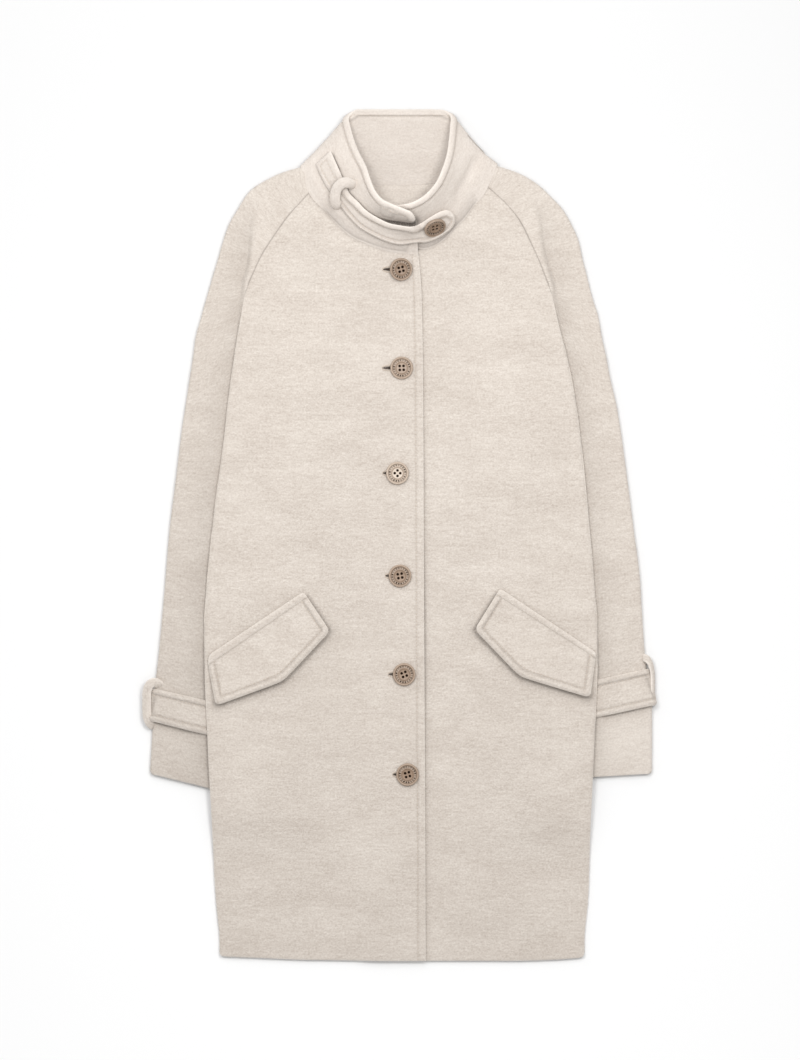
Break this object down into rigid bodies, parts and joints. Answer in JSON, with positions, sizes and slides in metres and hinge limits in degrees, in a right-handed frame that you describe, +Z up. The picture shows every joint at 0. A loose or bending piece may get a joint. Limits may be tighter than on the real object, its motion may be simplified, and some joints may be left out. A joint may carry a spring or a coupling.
{
  "type": "high neck coat",
  "caption": "Felted wool coat laid flat, with a high stand collar held by a buttoned throat strap, raglan sleeves with cuff straps and slanting flap pockets.",
  "frame": {"origin": "centre of the coat's outline, on the surface that it lies on", "axes": "+X to the wearer's left (right in the picture), +Y from the hem to the collar, +Z up from the surface, out of the coat's front"},
  "size_m": [0.6167, 1.0215, 0.059],
  "materials": {
    "wool_cloth": "felted, brushed, oatmeal melange",
    "button": "turned brown horn look, half gloss"
  },
  "bodies": {
    "root": {"back": "wool_cloth", "front_right": "wool_cloth", "front_left": "wool_cloth", "sleeve_right": "wool_cloth", "sleeve_left": "wool_cloth", "collar": "wool_cloth", "collar_strap": "wool_cloth", "collar_loop": "wool_cloth", "collar_button": "button", "pocket_flap_right": "wool_cloth", "pocket_flap_left": "wool_cloth", "pocket_welt_right": "wool_cloth", "pocket_welt_left": "wool_cloth", "cuff_strap_right": "wool_cloth", "cuff_strap_left": "wool_cloth", "cuff_loop_right": "wool_cloth", "cuff_loop_left": "wool_cloth", "button_1": "button", "button_2": "button", "button_3": "button", "button_4": "button", "button_5": "button", "button_6": "button"}
  },
  "joints": []
}
